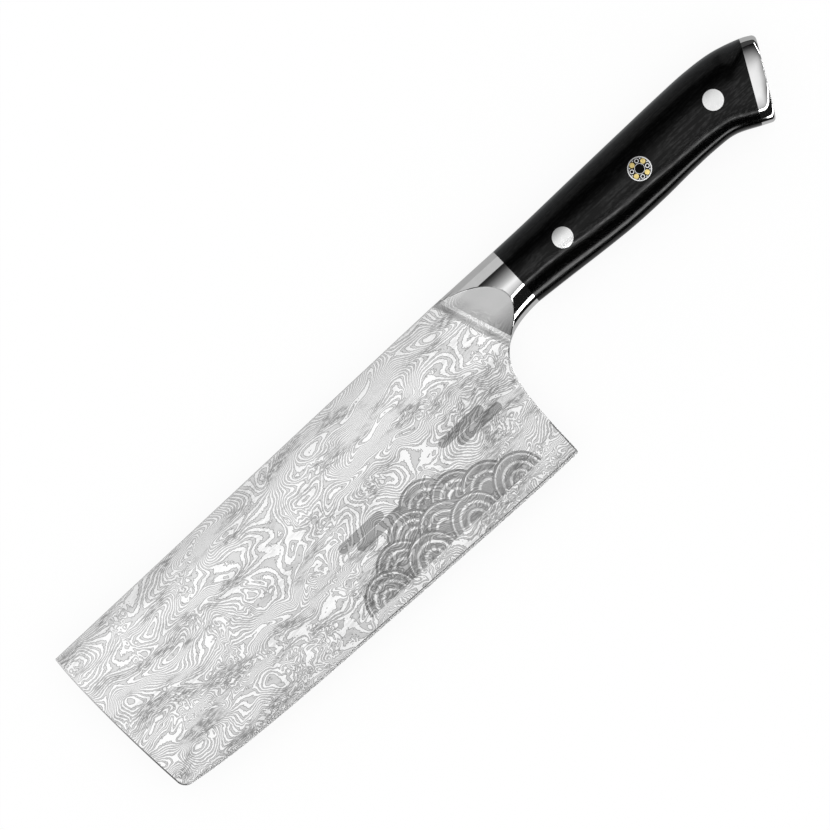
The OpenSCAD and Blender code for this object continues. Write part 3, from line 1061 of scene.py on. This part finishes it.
def isFacet(normal, centre):
    slant = math.sin(math.radians(bolsterSize["facetAngle"]))
    return ridgeOffset(centre) > landEnd and abs(acrossRidge(normal) + slant) < groundLimits["facetPlay"]


# The hollow, the land and the facet are ground; the rest of the bolster is polished
def isGround(normal, centre):
    if ridgeOffset(centre) < landEnd:
        return abs(normal.z) > groundLimits["sideways"] or acrossRidge(normal) < -groundLimits["forwards"]
    return isFacet(normal, centre)


# Whether the test holds on only one of the edge's two faces
def isBorder(edge, test):
    found = [test(face.normal, face.calc_center_median()) for face in edge.link_faces]
    return len(found) == 2 and found[0] != found[1]


def softenFacetEdge(piece):
    def isRim(edge):
        offset = min(ridgeOffset(v.co) for v in edge.verts)
        return offset >= landEnd + groundLimits["pastLand"] and isBorder(edge, isGround)

    softenEdges(piece, isRim, bolsterSize["rounding"])


# The ground facets stay flat to their soft edges
def sharpenFacets(piece):
    with editing(piece.data) as shape:
        for edge in shape.edges:
            if isBorder(edge, isFacet):
                edge.smooth = False


bolster = makeBolster()
finishPiece(bolster, "bolster", angle=14)
sharpenFacets(bolster)
print("bolster made")


# Handle

def makeScale(name, side):
    piece = gripSkin(name, 0, handleSize["seamRow"])
    slicePiece(piece, midZ + side * handleSize["tangThick"] / 2, side > 0)
    head = pinSize["rivetHead"] / 2 + pinSize["gap"]
    for spot, radius in (("frontRivet", head), ("rearRivet", head), ("mosaicPin", pinSize["mosaic"] / 2)):
        carve(piece, rod("cutter", pinPlace(spot), radius, cadBox[0].z - over, cadBox[1].z + over))
    return piece


def makeTang():
    piece = gripSkin("tangPlate", 0, handleSize["seamRow"])
    slicePiece(piece, midZ + handleSize["tangThick"] / 2, False)
    slicePiece(piece, midZ - handleSize["tangThick"] / 2, True)
    return piece


# Row of the handle's tables that lies this far before the butt
def rowBefore(gap, halvings=30):
    last = len(backLine) - 1
    low, high = handleSize["seamRow"], last
    for i in range(halvings):
        middle = (low + high) / 2
        if (between(backLine, last) - between(backLine, middle)).length > gap:
            low = middle
        else:
            high = middle
    return low


# The cap's sides bend in softly before the butt and end in a small round rim
def makeCap(rows=10, softSteps=10, rimSteps=8):
    seam = handleSize["seamRow"]
    softLong, softDrop, rim = handleSize["capSoftLong"], handleSize["capSoftDrop"], handleSize["capRim"]
    bend = handleSize["capBend"]
    lean = math.atan(bend * softDrop / softLong)
    rimLong = rim * (1 - math.sin(lean))
    start = rowBefore(softLong + rimLong)
    rings = [handleRing(seam + (start - seam) * i / rows) for i in range(rows + 1)]
    gaps = []
    for i in range(1, softSteps + 1):
        t = i / softSteps
        gaps.append((rimLong + softLong * (1 - t), softDrop * t ** bend))
    for i in range(1, rimSteps + 1):
        a = lean + (math.pi / 2 - lean) * i / rimSteps
        gaps.append((rim * (1 - math.sin(a)), softDrop + rim * (math.cos(lean) - math.cos(a))))
    radius = handleSize["capRadius"]
    for gap, sideInset in gaps:
        left = max(0.0, radius - gap)
        rings.append(handleRing(rowBefore(gap), radius - math.sqrt(radius * radius - left * left), sideInset))
    return skinRings("endCap", rings)


finishPiece(makeScale("scaleLeft", 1), "scale_left", blackLaminate)
finishPiece(makeScale("scaleRight", -1), "scale_right", blackLaminate)
finishPiece(makeTang(), "tang", satinSteel)
finishPiece(makeCap(), "end_cap", polishedSteel)
print("handle made")


# Pins

# A short piece of the grip, to which a pin's ends are cut flush
def pinBlank(spot):
    row, reach = pinSize[spot][0], pinSize["rowReach"]
    return gripSkin(spot + "Blank", row - reach, row + reach, pinSize["shoulderShare"])


def trimmed(name, spot, rods, hole=None):
    def oneRod(radius, low, high):
        return rod(name, pinPlace(spot), radius, midZ + low, midZ + high)

    piece = oneRod(*rods[0])
    carve(piece, oneRod(*rods[1]), "UNION")
    if hole:
        carve(piece, oneRod(*hole))
    carve(piece, pinBlank(spot), "INTERSECT")
    return piece


def makeRivet(spot, node):
    reach = handleSize["tangThick"] / 2 + pinSize["rivetWeb"]
    top = handleSize["thick"]
    head, stem, core = (pinSize[size] / 2 for size in ("rivetHead", "rivetStem", "rivetCore"))
    gap = pinSize["gap"]
    male = trimmed(spot + "Male", spot, [(head, reach, top), (core, -reach + gap, reach + gap)])
    female = trimmed(
        spot + "Female", spot, [(head, -top, -reach), (stem, -reach - gap, reach - gap)],
        (core + gap, -reach, reach + gap))
    finishPiece(male, node + "_male", rivetSteel)
    finishPiece(female, node + "_female", rivetSteel)


makeRivet("frontRivet", "front_rivet")
makeRivet("rearRivet", "rear_rivet")


def joinPieces(name, pieces):
    shape = bmesh.new()
    for piece in pieces:
        shape.from_mesh(piece.data)
        bpy.data.objects.remove(piece)
    mesh = bpy.data.meshes.new(name)
    shape.to_mesh(mesh)
    shape.free()
    return addPiece(name, mesh)


high = handleSize["thick"]
higher = high + over


# A rod at the mosaic pin's middle
def middleRod(name, radius, reach):
    return rod(name, pinPlace("mosaicPin"), radius, midZ - reach, midZ + reach)


# Rods standing round the mosaic pin's middle, from the start-th place on, each step-th one
def standRound(name, start, step, ring, radius, reach):
    turn = 2 * math.pi / pinSize["ringCount"]
    rods = []
    for i in range(round(pinSize["ringCount"] / step)):
        a = math.radians(pinSize["ringTurn"]) + (start + i * step) * turn
        spot = pinPlace("mosaicPin") + Vector((math.cos(a), math.sin(a), 0)) * ring
        rods.append(rod(name, spot, radius, midZ - reach, midZ + reach, pinSize["smallSteps"]))
    return joinPieces(name, rods)


def makeMosaicPin():
    outer, hub = pinSize["mosaic"] / 2, pinSize["hub"] / 2
    inner, hubBore = outer - pinSize["mosaicWall"], hub - pinSize["hubWall"]
    gap = pinSize["resinGap"]
    ring = (inner + hub) / 2
    brass = min((inner - hub) / 2 - gap, ring * math.sin(math.pi / pinSize["ringCount"]) - gap / 2)
    small, bore, wire = brass * pinSize["tubeShare"], pinSize["tubeBore"] / 2, pinSize["wire"] / 2
    wireRing = inner - gap - wire
    blank = pinBlank("mosaicPin")

    def flush(piece, node, material=rivetSteel):
        carve(piece, blank, "INTERSECT", keep=True)
        finishPiece(piece, node, material)

    tube = middleRod("mosaicTube", outer, high)
    carve(tube, middleRod("cutter", inner, higher))
    flush(tube, "mosaic_tube")
    hubTube = middleRod("mosaicCentreTube", hub, high)
    carve(hubTube, middleRod("cutter", hubBore, higher))
    flush(hubTube, "mosaic_centre_tube")
    tubes = standRound("mosaicSteelTubes", 1, 2, ring, small, high)
    carve(tubes, standRound("cutter", 1, 2, ring, bore, higher))
    flush(tubes, "mosaic_steel_tubes")
    rods = standRound("mosaicBrassRods", 0, 2, ring, brass, high)
    flush(rods, "mosaic_brass_rods", pinBrass)
    wires = standRound("mosaicWires", 0.5, 1, wireRing, wire, high)
    flush(wires, "mosaic_wires")
    resin = middleRod("resin", inner, high)
    carve(resin, middleRod("cutter", hub, higher))
    for start, step, reach, radius in ((0, 2, ring, brass), (1, 2, ring, small), (0.5, 1, wireRing, wire)):
        carve(resin, standRound("cutter", start, step, reach, radius, higher))
    fillings = standRound("fillings", 1, 2, ring, bore, high)
    resin = joinPieces("mosaicResin", [resin, fillings, middleRod("middle", hubBore, high)])
    flush(resin, "mosaic_resin", blackResin)
    bpy.data.objects.remove(blank)


makeMosaicPin()
print("pins made")


# Studio

studio = {
    "floorWide": 6.0,
    "floorShade": 0.9,
    "sheet": [(-24, 0.006), (-19, 0.5), (20, 0.5), (24, 0.45)],
    "cameraHeight": 3.0,
    "viewCentre": Vector((-12.29 * mm, 11.7 * mm, 0)),
    "viewTurn": -43.08,
    "viewWide": 271.2 * mm,
    "sensorWide": 36.0,
    "farthest": 100,
}


def makeFloor():
    half = studio["floorWide"] / 2
    corners = [(-half, -half, 0), (half, -half, 0), (half, half, 0), (-half, half, 0)]
    floor = addPiece("floor", meshFromFaces("floor", corners, [(0, 1, 2, 3)]))
    material = bpy.data.materials.new("paleFloor")
    material.use_nodes = True
    tree = material.node_tree
    tree.nodes.clear()
    path = newNode(tree, "ShaderNodeLightPath").outputs
    glossy = Value(path["Is Glossy Ray"])
    seen = mathNode("ADD", Value(path["Is Camera Ray"]), Value(path["Is Transmission Ray"]), clamp=True)
    glows = mathNode("ADD", seen * studio["floorShade"], glossy, clamp=True)
    # Polished parts see the pale sheet that the knife lies on, and the dark ground past its end
    sheet = curveOf(splitVector(millimetres(tree))[1], studio["sheet"])
    glow = newNode(tree, "ShaderNodeEmission")
    feed(glow.inputs["Strength"], greyMix(glossy, 1.0, sheet))
    diffuse = newNode(tree, "ShaderNodeBsdfDiffuse")
    diffuse.inputs["Color"].default_value = (1, 1, 1, 1)
    mix = newNode(tree, "ShaderNodeMixShader", [glows, Value(diffuse.outputs[0]), Value(glow.outputs[0])])
    newNode(tree, "ShaderNodeOutputMaterial", [Value(mix.outputs[0])])
    floor.data.materials.append(material)


# What the polished parts reflect, by angles in degrees from straight up. The big soft panel
# fades towards the spine side and the butt; a dark gap and a thin bright strip run round it.
panel = {
    "spineFade": [
        (-21, 0.52), (-16, 0.66), (-11.5, 0.8), (-7, 0.92), (-3.5, 1.05), (-0.5, 1.05), (4.5, 0.82),
        (7.7, 0.65), (14, 0.46), (21, 0.31), (28, 0.18), (35.5, 0.077), (44, 0.025), (50, 0.02)],
    "buttFade": [(0, 1.0), (3, 1.0), (10, 0.85), (25, 0.35), (37, 0.06)],
    "bladeFade": [(-36, 1.55), (-30, 0.4), (-22, 0.3), (-13, 1.0)],
    "buttEnd": 38.0,
    "bellyEnd": 20.5,
    "spineEnd": 50.5,
    "corner": 18.0,
    "gapShade": 0.42,
    "gapWide": 3.0,
    "stripWide": 5.5,
    "stripSoft": 1.2,
    "stripStart": -20.0,
    "stripStartSoft": 3,
    "stripShade": 6.5,
    "outside": 0.01,
    "sideStrip": (-87.5, -73),
    "spineCard": 0.54,
    "cardFloor": 0.06,
    "cardButtEnd": 14.0,
    "cardSoft": 3,
    "frontCard": 0.66,
    "frontEnd": -46.0,
    "frontSoft": 6,
}


def softStep(value, edge, soft=0.5):
    return mapRange(value, edge - soft, edge + soft, smooth=True)


def softBand(value, low, high, soft=0.5):
    return softStep(value, low, soft) * (1.0 - softStep(value, high, soft))


def studioShade(direction):
    x, y, z = splitVector(direction)
    across = mathNode("DEGREES", mathNode("ARCTAN2", y, z))
    along = mathNode("DEGREES", mathNode("ARCSINE", x))
    inside = curveOf(across, panel["spineFade"]) * curveOf(along, panel["buttFade"])
    inside = inside * curveOf(along, panel["bladeFade"])
    # Distance outside the panel's rounded corner between its butt end and its belly side
    corner = panel["corner"]
    overButt = largest(along - (panel["buttEnd"] - corner), 0.0)
    overBelly = largest(across * -1.0 - (panel["bellyEnd"] - corner), 0.0)
    distance = vectorNode("LENGTH", joinVector(overButt, overBelly, 0)) - corner
    gapEnd = panel["gapWide"]
    strip = softBand(distance, gapEnd, gapEnd + panel["stripWide"], panel["stripSoft"])
    behindBlade = softStep(along, panel["stripStart"], panel["stripStartSoft"])
    strips = largest(strip, softBand(across, *panel["sideStrip"])) * behindBlade
    outer = strips * panel["stripShade"] + panel["outside"]
    outer = greyMix(1.0 - softStep(distance, gapEnd), outer, panel["gapShade"])
    shade = greyMix(softStep(distance, 0.0), inside, outer)
    near = 1.0 - softStep(along, panel["cardButtEnd"], panel["cardSoft"])
    spineCard = near * panel["spineCard"] + panel["cardFloor"]
    shade = greyMix(softStep(across, panel["spineEnd"]), shade, spineCard)
    return greyMix(softStep(along, panel["frontEnd"], panel["frontSoft"]), panel["frontCard"], shade)


def makeWorld():
    world = bpy.data.worlds.new("studio")
    bpy.context.scene.world = world
    world.use_nodes = True
    tree = world.node_tree
    tree.nodes.clear()
    shade = studioShade(Value(newNode(tree, "ShaderNodeTexCoord").outputs["Generated"]))
    glossy = Value(newNode(tree, "ShaderNodeLightPath").outputs["Is Glossy Ray"])
    background = newNode(tree, "ShaderNodeBackground", [greyMix(glossy, 1.0, shade)])
    newNode(tree, "ShaderNodeOutputWorld", [Value(background.outputs[0])])


def makeCamera():
    data = bpy.data.cameras.new("camera")
    camera = bpy.data.objects.new("camera", data)
    bpy.context.scene.collection.objects.link(camera)
    camera.location = studio["viewCentre"] + Vector((0, 0, midZ + studio["cameraHeight"]))
    camera.rotation_euler = (0, 0, math.radians(studio["viewTurn"]))
    data.sensor_width = studio["sensorWide"]
    data.lens = studio["sensorWide"] * studio["cameraHeight"] / studio["viewWide"]
    data.clip_end = studio["farthest"]
    bpy.context.scene.camera = camera


makeFloor()
makeWorld()
makeCamera()
bpy.context.scene.view_settings.view_transform = "Standard"
print("studio made")
